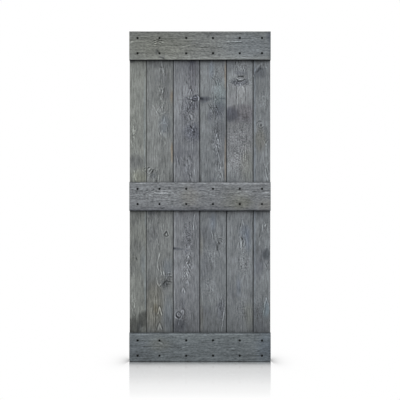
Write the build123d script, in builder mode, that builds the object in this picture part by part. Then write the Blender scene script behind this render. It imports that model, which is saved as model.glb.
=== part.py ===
"""Barn door slab: upright tongue-and-groove pine boards screwed to three flat rails.

Millimetres. X runs across the door from left to right, +Y from its front to its back, +Z up.
The origin is the middle of the door's top edge, on the plane where the rails lie on the boards.
"""

import os

from build123d import *

# The whole door
door_width = 914.4
door_height = 2133.6

# Boards: planed pine, with a tongue on the right edge and a groove on the left edge
board_thickness = 19.0
board_pitch = 173.0  # from one joint line to the next
narrowest_rip = 60.0  # the outer boards are ripped to what is left, and never below this
joint_shift = -2.5  # how far the row of boards sits from the middle of the door
board_arris = 1.5  # radius of the eased long edges

# Tongue-and-groove joint
joint_gap = 2.0  # open line between two boards, on both faces
tongue_thickness = 6.4
tongue_hold = 6.0  # how deep the tongue reaches into the groove
tongue_bevel = 0.8
cheek_clearance = 0.25  # each side of the tongue
tip_clearance = 0.8  # past the end of the tongue

# Rails: flat pine boards laid across the front
rail_height = 184.0
rail_thickness = 19.0
rail_arris = 2.0  # radius of the eased edges round the front face

# Screws: two in each board at each rail
screw_row_spacing = 98.4
low_screw_drop = 5.0  # how far the bottom rail's screws sit below its middle
screw_length = 32.0  # from under the head to the point
screw_head_diameter = 11.0
screw_head_height = 2.8
screw_head_rim = 0.7  # straight edge of the head, below its dome
screw_shank_diameter = 4.2
screw_core_diameter = 3.0  # inside the thread, in the board
screw_point_length = 4.0
shank_clearance = 0.3  # radial, in the rail
core_clearance = 0.1  # radial, in the pilot hole
pilot_end_clearance = 0.5  # past the point

# Layout across the door: ripped boards at both sides, whole boards between them
whole_boards = int((door_width - 2 * narrowest_rip) // board_pitch)
first_joint = joint_shift - whole_boards * board_pitch / 2
joint_lines = [first_joint + n * board_pitch for n in range(whole_boards + 1)]
board_lefts = [-door_width / 2] + [line + joint_gap / 2 for line in joint_lines]
board_rights = [line - joint_gap / 2 for line in joint_lines] + [door_width / 2]
board_middles = [(left + right) / 2 for left, right in zip(board_lefts, board_rights)]

# Layout up the door
rail_middles = {
    "top_rail": -rail_height / 2,
    "middle_rail": -door_height / 2,
    "bottom_rail": rail_height / 2 - door_height,
}
screw_middles = {**rail_middles, "bottom_rail": rail_middles["bottom_rail"] - low_screw_drop}
screw_rows = {
    name: [middle + screw_row_spacing / 2, middle - screw_row_spacing / 2]
    for name, middle in screw_middles.items()
}

# The front faces of the boards and of the rails, drawn on as seen from the front
board_front = Plane(origin=(0, 0, 0), x_dir=(1, 0, 0), z_dir=(0, -1, 0))
rail_front = board_front.offset(rail_thickness)


def write(part, name):
    """Labels a finished piece and writes it to its own file."""
    part.label = name
    export_step(part, f"parts/{name}.step")


def make_board(left, right, grooved, tongued):
    """One board: its section, drawn at the door's bottom edge, pulled up to the top edge."""
    middle = (left + right) / 2
    mid_depth = board_thickness / 2
    on_left_end = (Align.MIN, Align.CENTER)
    pilot_spots = [(middle, row) for rows in screw_rows.values() for row in rows]

    with BuildPart() as board:
        with BuildSketch(Plane.XY.offset(-door_height)) as section:
            with Locations((middle, mid_depth)):
                Rectangle(right - left, board_thickness)
            fillet(section.vertices(), board_arris)
            if grooved:
                groove_width = tongue_thickness + 2 * cheek_clearance
                with Locations((left, mid_depth)):
                    Rectangle(tongue_hold + tip_clearance, groove_width, align=on_left_end, mode=Mode.SUBTRACT)
            if tongued:
                with Locations((right, mid_depth)):
                    Rectangle(joint_gap + tongue_hold, tongue_thickness, align=on_left_end)
                chamfer(section.vertices().group_by(Axis.X)[-1], tongue_bevel)
        extrude(amount=door_height)

        # Blind pilot holes, from the front
        with Locations(board_front):
            with Locations(pilot_spots):
                Hole(
                    screw_core_diameter / 2 + core_clearance,
                    depth=screw_length - rail_thickness + pilot_end_clearance,
                )
    return board.part


def make_rail(name):
    """One rail across the front of the boards, with a clearance hole for each screw."""
    hole_spots = [(across, row) for across in board_middles for row in screw_rows[name]]

    with BuildPart() as rail:
        with BuildSketch(board_front):
            with Locations((0, rail_middles[name])):
                Rectangle(door_width, rail_height)
        extrude(amount=rail_thickness)
        fillet(rail.faces().sort_by(Axis.Y)[0].edges(), rail_arris)
        with Locations(rail_front):
            with Locations(hole_spots):
                Hole(screw_shank_diameter / 2 + shank_clearance)
    return rail.part


def make_screw():
    """A domed wood screw on the Y axis, with the underside of its head on the rails' front."""
    head_radius = screw_head_diameter / 2
    shank_radius = screw_shank_diameter / 2
    core_radius = screw_core_diameter / 2
    bearing = -rail_thickness
    crown = bearing - screw_head_height
    point = bearing + screw_length

    with BuildPart() as screw:
        with BuildSketch(Plane.XY):
            with BuildLine():
                dome = TangentArc((0, crown), (head_radius, bearing - screw_head_rim), tangent=(1, 0))
                Polyline(
                    dome @ 1,
                    (head_radius, bearing),
                    (shank_radius, bearing),
                    (shank_radius, 0),
                    (core_radius, 0),
                    (core_radius, point - screw_point_length),
                    (0, point),
                    dome @ 0,
                )
            make_face()
        revolve(axis=Axis.Y)
    return screw.part


def make_screw_pair(screw, across, rows):
    """The two screws that hold one board to one rail."""
    with BuildPart() as pair:
        with Locations([(across, 0, row) for row in rows]):
            add(screw)
    return pair.part


os.makedirs("parts", exist_ok=True)

last_board = len(board_middles)
for number, (left, right) in enumerate(zip(board_lefts, board_rights), start=1):
    board = make_board(left, right, grooved=number > 1, tongued=number < last_board)
    write(board, f"board_{number}")

screw = make_screw()
for rail_name, rows in screw_rows.items():
    write(make_rail(rail_name), rail_name)
    for number, across in enumerate(board_middles, start=1):
        write(make_screw_pair(screw, across, rows), f"{rail_name}_screws_board_{number}")
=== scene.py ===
"""Looks of the barn door slab: grey-stained pine boards and rails, black screws, white studio.

Metres, in the part's own frame: X across the door, +Y from its front to its back, +Z up.
Places on a piece of wood are in millimetres: across and along its grain.
"""

import math
from collections import namedtuple

import bpy
import numpy as np
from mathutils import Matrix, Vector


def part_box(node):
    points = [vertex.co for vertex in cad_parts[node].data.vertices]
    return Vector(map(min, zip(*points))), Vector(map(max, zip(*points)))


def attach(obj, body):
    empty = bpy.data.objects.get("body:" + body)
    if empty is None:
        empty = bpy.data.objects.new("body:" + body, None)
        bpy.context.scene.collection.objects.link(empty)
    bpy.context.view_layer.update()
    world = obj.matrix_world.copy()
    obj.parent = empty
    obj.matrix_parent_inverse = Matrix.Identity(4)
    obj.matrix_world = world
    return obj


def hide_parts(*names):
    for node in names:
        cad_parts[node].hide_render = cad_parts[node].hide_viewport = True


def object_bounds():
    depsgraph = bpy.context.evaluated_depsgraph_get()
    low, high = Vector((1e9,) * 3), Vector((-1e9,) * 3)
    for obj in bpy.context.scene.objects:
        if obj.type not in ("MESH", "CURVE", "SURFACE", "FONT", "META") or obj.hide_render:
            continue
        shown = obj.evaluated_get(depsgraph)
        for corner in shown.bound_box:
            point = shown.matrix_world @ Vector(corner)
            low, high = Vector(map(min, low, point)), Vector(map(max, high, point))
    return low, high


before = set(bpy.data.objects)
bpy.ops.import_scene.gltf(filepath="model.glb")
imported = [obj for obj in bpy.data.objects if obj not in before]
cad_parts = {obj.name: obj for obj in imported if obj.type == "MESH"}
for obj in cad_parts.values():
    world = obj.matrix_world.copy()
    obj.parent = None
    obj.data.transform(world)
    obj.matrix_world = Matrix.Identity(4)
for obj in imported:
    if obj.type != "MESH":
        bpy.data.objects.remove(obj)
cad_low, cad_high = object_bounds()

MM = 0.001
BODY = "root"
RAILS = ("top_rail", "middle_rail", "bottom_rail")
WHITE = (1, 1, 1, 1)

# The photograph's camera: level, square to the door
CAMERA_DISTANCE = 3.15  # from the rails' front
CAMERA_HEIGHT = 1.0437  # above the floor
VIEW_SIZE = 2.5844  # what the square picture spans at the rails' front
SENSOR_MM = 36.0

# The studio
CEILING_STRENGTH = 2.6
CEILING_SPAN = (-0.1, 1.0)  # where it starts and ends: 0 is level, and 1 is overhead
CEILING = [(0.0, 0.02), (0.05, 0.35), (0.5, 0.75), (1.0, 1.0)]  # brightness through that span
FLOOR_HALF = 30.0
FLOOR_HALO_GREY = (0.26, 0.26, 0.26, 1)  # a darker grey round the door's foot: a painted shadow halo, which also takes the door's real shadow
FLOOR_HALO_FALL = -23.0  # how fast that painted halo fades, for each metre from the door
FLOOR_DIM = (0.08, 0.08, 0.08, 1)  # what the door's own surfaces get back from it
FLOOR_ROUGHNESS = 0.08
MIRROR_REACH = 0.6  # how far from the door its mirror image is gone
MIRROR = [
    (0.03, 0.95), (0.056, 0.83), (0.088, 0.7), (0.12, 0.585), (0.15, 0.48), (0.18, 0.42), (0.24, 0.365),
    (0.36, 0.345), (0.47, 0.297), (0.58, 0.234), (0.68, 0.172), (0.78, 0.126), (0.87, 0.09), (1.0, 0.01),
]
MIRROR_SIDE = 0.006  # how far past the door's sides the image fades at its foot
MIRROR_SPREAD = 0.6  # how much further for each metre in front of the door

# Joints between the boards, as the solids have them: how far outside the edge a point lies, its depth
GROOVE = [(-6.8, 6.05), (-6.8, 8.0), (-6.8, 11.0), (-6.8, 12.95)]
TONGUE = [(7.2, 6.3), (8.0, 7.1), (8.0, 11.9), (7.2, 12.7)]
TONGUE_REACH = 8.0

# Wood meshes
BOARD_ARRIS = 1.5
RAIL_ARRIS = 2.0
END_ARRIS = 0.7
COLUMN_STEP = 2.2
COLUMN_EASE = (0.3, 0.8, 1.5, 2.6)  # closer columns beside the long edges
ROW_STEP = 4.2
ROW_EASE = (0.3, 0.8, 2.0)  # closer rows beside the ends
BACK_STEP = 4  # one row in this many reaches the back
EDGE_LEVELS = 8  # points down a long edge, with or without a joint
LEVEL_MARGIN = 1  # from an arris to the first of them
JOINT_REACH = 12  # how far in from a long edge its joint's levels fade out
RELIEF = 0.22  # how far the soft early wood has worn back
CUP = 0.18  # how far a face hollows across its width
WEAR_EDGE = 3  # how far from an edge the wear starts to run out
ARRIS_WEAR = 1.15  # radius of a worn arris, as a share of the solid's
BOARD_STRETCH = 1.0  # how far the grain's fine lines are drawn out along a board
RAIL_STRETCH = 1.7  # and along a rail
SEED_SHIFT = 400  # how far apart two pieces lie in the noises

# Painted shade on the wood, and dark rims round the screws, as shares of the colour that they take away
JOINT_EDGE_SHADE = {  # painted shade along the joints, for the dark gap between boards: strength and reach at a board's left edge, strength at its right edge
    "board_1": (0.0, 2.0, 0.5), "board_2": (0.5, 2.0, 0.6), "board_3": (0.92, 2.0, 0.5),
    "board_4": (0.92, 2.0, 0.5), "board_5": (0.94, 2.0, 0.2), "board_6": (0.96, 3.0, 0.0),
}
JOINT_SHADE_FADE = 2.2
RIGHT_JOINT_SHADE = (0.2, 1.8)  # where it starts to fade and where it is gone
RAIL_SHADE = {  # on the boards under each rail: close to it and further down
    "top_rail": (0.2, 0.0), "middle_rail": (0.36, 0.1), "bottom_rail": (0.36, 0.1),
}
RAIL_LAP = 1  # how far under the rail it starts
NEAR_SHADE = 14
FAR_SHADE = 90
CONTACT_SHADE, CONTACT_REACH = 0.75, 4
LEDGE_SHADE, LEDGE_REACH = 0.3, 18  # on the boards above a rail
# painted shade: the boards darker towards the floor, where less light reaches
FOOT_SHADE, FOOT_REACH = 0.32, (1640, 1960)
RAIL_LOW_EDGE_SHADE, LOW_EDGE_FADE = 0.9, (1.0, 3.0)  # painted shade along a rail's bottom edge
# painted shade along a rail's top edge
RAIL_HIGH_EDGE_SHADE, HIGH_EDGE_FADE = 0.45, (1.0, 4.0)
# darker rims round the screw heads
SCREW_RIM_DARK, SCREW_FADE = 0.95, (6.2, 8.8)

# What is left of the colour where shade is painted inside a joint and under a rail, and on a rail's darker
# top side
JOINT_SIDE_SHADE = 0.2
RAIL_UNDERSIDE_SHADE = 0.03
RAIL_TOP = 0.28

# Screws
SHANK_RADIUS = 0.0021
CORE_RADIUS = 0.0015
POINT_LENGTH = 0.004
POINT_RADIUS = 0.0001
HEAD_GRID = [-1, -0.92, -0.8, -0.66, -0.58, -0.4, -0.24, -0.17, 0.0]  # rim to middle, in radii
HEAD_RIM = 0.25  # straight part of the head's height
DOME_POWER = 0.8
RECESS_HALF = 0.2
RECESS_ARM = 0.6
RECESS_DEPTH = 0.62  # as a share of the head's height, at the middle
RECESS_RISE = 0.8  # how much of that is gone at the end of an arm
BLACK = (0.003, 0.003, 0.003, 1)
RUBBED = (0.012, 0.012, 0.011, 1)
RUB_CELLS = 900  # a metre
RUB_EDGES = (0.5, 0.75)  # noise at which the rubbing starts and is full
BLACK_ROUGHNESS = (0.3, 0.4)  # for each unit of noise, and without any
BLACK_SHINE = 0.06
TURN_SEED = 5

# Slow waves in a piece of wood: seed, strength, length across and along the grain
Wave = namedtuple("Wave", "seed strength across along")
FLOW = Wave(0, 2.0, 60, 300)
PITH_DEPTH = Wave(1, 2, math.inf, 90)
PITH_ACROSS = Wave(2, 4, math.inf, 120)
RINGS = Wave(5, 0.3, 16, 90)
CONTRAST = Wave(8, 0.1, 45, 160)
RAGGED_ACROSS = [Wave(3, 6, 22, 34), Wave(9, 5, 7, 16)]  # edges of patches
RAGGED_ALONG = [Wave(4, 12, 18, 40), Wave(10, 7, 7, 20)]
SHAKY_ACROSS = Wave(11, 2.0, 14, 17)  # streaks
SHAKY_ALONG = Wave(12, 3.0, 15, 12)
BREAKS = Wave(13, 0.3, 20, 14)
DIPS = Wave(30, 0.25, 70, 500)  # the face
ARRIS_WAVE = Wave(31, 0.3, 0.2, 45)  # across is 0 at one long edge and 1 at the other

# Rings and stain
PLAIN_CONTRAST = 0.16  # of the rings, where there is no figure
FLAT_SAWN = 1.8  # from this many times their width apart, the rings show fully
EDGE_GRAIN = 0.45  # how much of them shows where they stand square to the face
RAGGED_FROM = (30, 40)  # patches with half sizes below these are less ragged
SOFT_EDGE = 1.5
BELL_FALL = 0.7  # how fast a patch or figure fades
LINE_WIDTH = 2.6
FLECK_WIDTH = 3.0
FLECK_HALF = 6
STREAK_REACH = 4  # in widths
STREAK_TAPER = (-4, 8)
STREAK_STRENGTH = 1.3
STREAK_EVEN = 0.85  # what is left of a streak between its breaks, on average
DARKEST_STREAK = 0.1
BROAD_FROM = 4  # width from which a streak has next to no opposite halo beside it
HALO, BROAD_HALO, HALO_PLACE = 0.35, 0.1, 2.2
OVAL_POINTS = 12
PEAK_GAIN = 0.35
PEAK_STEEPNESS = 1.8
PEAK_WIDTHS = (0.7, 1.0, 1.3)  # in turn
PEAK_LEAN = 0.8  # right side, as a share of the left

# The pine's noises: cells a metre across and along the grain, and detail
PINE_NOISES = {
    "fibre": (850, 16, 3), "streak": (110, 9, 4), "hatch": (140, 26, 2), "sand": (150, 95, 2),
    "mottle": (48, 15, 3), "cloud": (13, 5, 2), "wiggle": (42, 24, 2), "curl": (48, 13, 1),
}
NOISE_MIDDLE = 0.5
NOISE_ROUGHNESS = 0.55
LATE_WOOD = [  # brightness through one ring
    (0.0, 0.42), (0.52, 0.4), (0.64, 0.5), (0.73, 1.0), (0.81, 0.95), (0.88, 0.0), (0.94, 0.2), (1.0, 0.42),
]
LATE_WOOD_MIDDLE, LATE_WOOD_STRENGTH = 0.43, 1.5
CURL = [(0.0, 0.4), (0.3, 0.4), (0.42, 1.0), (0.55, 0.9), (0.68, 0.0), (0.85, 0.35), (1.0, 0.4)]
CURL_MIDDLE, CURL_STRENGTH, CURL_COUNT = 0.45, 2.4, 4.0
FIGURED_FROM = 0.2  # contrast above which the wood curls
DARKEST_SHADE = 0.2

# How much of them shows. A pair is for each unit of contrast, grit or noise, and without any.
LINE_WANDER, LINE_BEND = 0.35, (0.6, 0.4)
FIBRES, STREAKS, CLOUDS = 0.6, 1.3, 0.5
HATCH, SAND = (1.2, 0.8), (2.6, 0.45)
MOTTLE = 0.65  # as a share of the hatch
FIBRE_HEIGHT, LINE_HEIGHT = 0.6, 0.3  # in the bump
BUMP_STRENGTH, BUMP_DISTANCE = 0.35, 0.0006
PINE_ROUGHNESS, PINE_SHINE = (0.25, 0.55), 0.15

# Features of a piece of wood. On a board, across counts from its left edge and along from its top;
# on a rail, across counts from its bottom edge and along from its left end.
# A patch has a tint, how crisp its edge is and how ragged. A figure has clearer rings, and grit.
# A streak is light where its gain is above 0, and dark where it is below.
Patch = namedtuple(
    "Patch", "across along half_across half_along tint crisp ragged", defaults=(SOFT_EDGE, 1.0)
)
Figure = namedtuple("Figure", "across along half_across half_along contrast grit", defaults=(0.0,))
Streak = namedtuple("Streak", "gain width points")
Wood = namedtuple("Wood", "colour seed ring_width pith patches figures streaks")

# Tints of patches, as shares of the wood's own colour
DARKER = (0.40, 0.41, 0.44)
SMOKE = (0.49, 0.49, 0.49)
SMUDGE = (0.55, 0.57, 0.59)
INK = (0.59, 0.61, 0.66)
DARK = (0.60, 0.61, 0.64)
NAVY = (0.62, 0.63, 0.69)
MURK = (0.74, 0.74, 0.78)
DIM = (0.82, 0.82, 0.84)
PLUM = (0.84, 0.82, 0.85)
FAINT = (0.89, 0.89, 0.89)
ROSE = (0.90, 0.88, 0.87)
TEAL = (0.91, 0.98, 0.98)
BLUE = (0.91, 0.95, 1.03)
BROWN = (0.95, 0.91, 0.83)
BLUSH = (1.0, 0.97, 0.97)
OLIVE = (1.01, 1.00, 0.92)
WARM = (1.04, 1.00, 0.93)
SKY = (1.06, 1.11, 1.18)
PALE = (1.10, 1.10, 1.09)
LIGHT = (1.24, 1.24, 1.23)
ORANGE = (1.28, 1.08, 0.90)
# Tints of painted highlights along the rails' top edges
GLEAM = (1.4, 1.4, 1.4)
GLINT = (1.45, 1.45, 1.45)


def srgb(red, green, blue):
    """A linear colour from screen values of 0 to 255."""
    return tuple(((c / 255 + 0.055) / 1.055) ** 2.4 for c in (red, green, blue))


def oval(across, along, half_across, half_along):
    """Points round an oval, for a line."""
    turns = [2 * math.pi * n / OVAL_POINTS for n in range(OVAL_POINTS + 1)]
    return [(across + half_across * math.cos(t), along + half_along * math.sin(t)) for t in turns]


def chevrons(start, end, width, count):
    """Nested light and dark peaks down a line, where the rings come through the face."""
    peaks = []
    for n in range(2 * count):
        across = start[0] + (end[0] - start[0]) * n / (2 * count)
        along = start[1] + (end[1] - start[1]) * n / (2 * count)
        half = width / 2 * PEAK_WIDTHS[n % 3]
        foot = along + PEAK_STEEPNESS * half
        gain = PEAK_GAIN * (-1) ** n
        peaks.append((gain, (across - half, foot), (across, along), (across + PEAK_LEAN * half, foot)))
    return peaks


def fleck(across, along, gain, width=FLECK_WIDTH):
    """A short streak along the grain."""
    return Streak(gain, width, [(across, along - FLECK_HALF), (across, along + FLECK_HALF)])


def make_wood(colour, seed, ring_width, pith, patches, figures, lines, broad=(), flecks=()):
    """The wood of one piece, from rows of its features.

    pith: along, across and depth of the middle of the tree. lines: gain, then points.
    broad: gain, width, then points. flecks: across, along, gain and, for some, width.
    """
    streaks = [Streak(gain, LINE_WIDTH, points) for gain, *points in lines]
    streaks += [Streak(gain, width, points) for gain, width, *points in broad]
    streaks += [fleck(*row) for row in flecks]
    patches = [Patch(*row) for row in patches]
    figures = [Figure(*row) for row in figures]
    return Wood(srgb(*colour), seed, ring_width, pith, patches, figures, streaks)


WOOD = {}

WOOD["board_1"] = make_wood(colour=(119, 122, 119), seed=11, ring_width=9.0, pith=[
    (0, 28, 45), (600, 26, 40), (930, 34, 60), (1200, 50, 45), (1600, 25, 50), (1790, 28, 40),
    (2133, 50, 60),
], patches=[
    (98, 600, 6, 330, SKY, 3), (55, 315, 80, 55, LIGHT), (20, 530, 40, 130, PALE), (80, 783, 30, 36, LIGHT),
    (36, 842, 64, 50, MURK, 2), (50, 888, 45, 20, PALE, 3), (70, 945, 50, 40, OLIVE),
    (30, 1200, 40, 70, DIM), (50, 1330, 80, 150, FAINT, 2), (42, 1400, 45, 60, DIM, 3),
    (90, 1500, 18, 90, BLUE), (25, 1531, 34, 44, DIM), (75, 1640, 40, 70, FAINT), (80, 1800, 30, 26, LIGHT),
    (102, 1700, 8, 120, SKY, 3), (10, 1920, 54, 64, SMOKE, 5, 0.3), (110, 1864, 60, 54, SMOKE, 5, 0.3),
    # The dark patch at across 15, along 186 is painted shade under the top rail.
    (64, 1918, 20, 36, DARK, 2, 0.3), (103, 1215, 6, 60, SKY, 3), (15, 186, 20, 10, DARK, 2),
], figures=[
    (24, 660, 16, 90, 0.3, 0.5), (35, 925, 10, 50, 0.4), (24, 1780, 16, 60, 0.4),
], lines=[
    (0.35, (20, 560), (26, 600)), (0.5, (24, 614), (26, 646)), (-0.4, (12, 622), (16, 664)),
    (0.6, (26, 664), (28, 694)), (-0.4, (17, 690), (20, 716)), (0.5, (31, 712), (31, 764), (42, 792)),
    (0.2, (66, 796), (90, 832)), (0.7, (31, 894), (35, 935), (42, 968)), (-0.4, (90, 872), (101, 868)),
    (-0.7, (103, 900), (108, 912)), (0.35, (80, 894), (92, 903)), (0.3, (62, 1186), (66, 1250)),
    (0.5, (24, 1454), (38, 1462)), (0.5, (24, 1560), (27, 1580)), (0.4, (14, 1706), (22, 1755)),
    (0.7, (28, 1754), (32, 1792)),
], broad=[
    (-0.9, 3.5, (92, 891), (107, 880)), (-0.9, 5, (40, 1462), (48, 1484)),
    (0.25, 5, (92, 1394), (60, 1452)), (0.35, 5, (64, 1940), (84, 1918), (106, 1908)),
], flecks=[
    (57, 1333, -0.4),
])

WOOD["board_2"] = make_wood(colour=(114, 117, 117), seed=12, ring_width=11.0, pith=[
    (0, 97, 70), (380, 95, 40), (560, 108, 66), (700, 100, 45), (1000, 60, 60), (1250, -20, 50),
    (1550, -20, 50), (1700, 30, 60), (2133, 60, 40),
], patches=[
    (85, 200, 90, 40, DIM), (130, 330, 35, 60, DIM), (86, 292, 32, 32, DIM), (136, 409, 30, 32, DIM),
    (162, 420, 9, 35, ORANGE), (165, 775, 8, 62, ORANGE, 3), (120, 600, 35, 60, BLUE),
    (110, 672, 16, 28, PALE), (3, 1000, 3, 1200, LIGHT, 6), (45, 665, 44, 175, LIGHT, 2),
    # The dark patch at across 24, along 1172 is painted shade under the middle rail.
    (128, 627, 34, 34, FAINT), (44, 930, 20, 18, DARK), (40, 1180, 50, 36, DIM), (24, 1172, 22, 18, DARK),
    (40, 1310, 50, 60, DIM), (140, 1530, 28, 50, BLUE), (80, 1610, 90, 44, FAINT), (136, 1600, 24, 20, DIM),
    (118, 1636, 22, 24, DARK), (80, 1720, 90, 110, FAINT, 2), (46, 1780, 60, 150, BROWN, 3),
    (36, 1780, 30, 70, LIGHT), (60, 1796, 18, 30, BROWN, 3), (142, 1840, 30, 110, BLUE),
    (130, 1804, 36, 50, LIGHT), (10, 1690, 10, 120, DIM),
], figures=[
    (102, 250, 26, 120, 0.3), (96, 395, 26, 45, 0.2, 0.4), (90, 500, 50, 40, 0.2, 0.6),
    (114, 620, 28, 120, 0.1), (60, 800, 24, 60, 0.15), (40, 920, 40, 40, 0.1, 0.8),
    (80, 1350, 70, 150, 0.45), (130, 1610, 36, 50, 0.1, 0.8), (60, 1800, 60, 120, 0.15),
], lines=[
    (0.8, (97, 180), (99, 222)), (0.5, (104, 222), (108, 260), (112, 334)), (-0.25, (88, 204), (90, 420)),
    (-0.3, (126, 204), (130, 390)), (-0.3, (138, 204), (140, 330)),
    (0.45, (78, 360), (86, 400), (100, 465)), (0.6, (113, 352), (103, 382), (98, 412)),
    (-0.5, (92, 368), (98, 396)), (-0.35, (108, 384), (112, 430)), (0.25, (40, 472), (54, 500), (74, 536)),
    (-0.3, (48, 474), (62, 504), (80, 536)), (0.25, (66, 474), (84, 520)), (-0.4, (90, 480), (98, 520)),
    (-0.4, (112, 470), (106, 510)), (0.4, (126, 470), (116, 520)), (0.9, (115, 548), (115, 586)),
    (0.5, (84, 632), (92, 664), (98, 702)), (-0.4, (80, 640), (88, 676)), (0.5, (120, 704), (122, 728)),
    (0.5, (70, 826), (70, 876)), (0.5, (6, 912), (13, 893), (30, 881)),
    (0.6, (10, 920), (30, 908), (42, 886), (50, 880)), (-0.5, (24, 920), (36, 912)),
    (0.8, (78, 930), (74, 978)), (-0.5, (82, 952), (80, 972)), (0.4, (92, 1228), (98, 1292)),
    (0.4, (113, 1244), (104, 1298)), (0.7, (64, 1340), (78, 1384)),
    (0.7, (89, 1510), (91, 1545), (97, 1572), (89, 1588)), (-0.4, (111, 1488), (112, 1532)),
    (0.3, (102, 1464), (103, 1520)), (0.3, (120, 1464), (119, 1530)), (0.4, (138, 1563), (160, 1562)),
    (0.7, (129, 1586), (132, 1602), (144, 1612)), (-0.5, (118, 1622), (108, 1650)),
    (0.5, (61, 1600), (62, 1780)), (-0.4, (75, 1640), (74, 1740)), (-0.4, (42, 1738), (44, 1930)),
    (-0.45, (64, 1852), (76, 1798)), (-0.4, (94, 1798), (106, 1850)),
    (-0.5, (62, 1936), (76, 1890), (86, 1874)), (-0.45, (94, 1884), (106, 1930)),
    (0.3, (103, 1690), (106, 1740)), (0.4, (126, 1712), (126, 1750)),
], broad=[
    (-0.8, 3.5, (5, 886), (22, 878)), (-0.9, 3.5, (18, 904), (30, 891)), (-1, 5, (34, 910), (47, 892)),
    (-1, 3.2, (112, 1316), (130, 1294), (141, 1320), (128, 1325), (114, 1318)),
    (0.95, 4.5, (84, 1436), (78, 1464)), (0.75, 3, (78, 1460), (73, 1496), (73, 1520), (78, 1552)),
    (0.9, 3, (109, 1552), (117, 1584)), (0.75, 3, (65, 1590), (70, 1628), (82, 1648), (95, 1630)),
    (-0.8, 3.5, (142, 1571), (158, 1572)), (-0.7, 3.2, (138, 1590), (152, 1584), (166, 1592)),
    (-0.65, 4.5, (106, 1636), (127, 1614), (146, 1620), (163, 1625)), (-0.65, 5, (133, 1630), (136, 1662)),
    (-0.55, 3.2, (58, 1712), (60, 1800), (55, 1930)), (1.3, 3.2, (72, 1834), (84, 1786), (100, 1838)),
    (0.95, 3, (74, 1938), (85, 1896), (98, 1932)),
], flecks=[
    (99, 486, 0.7), (57, 928, 0.5), (57, 950, -0.5), (62, 967, -0.8, 3.5), (133, 1313, 0.6),
    (91, 1650, -0.8, 3.5), (110, 1650, 0.5),
])

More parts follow.
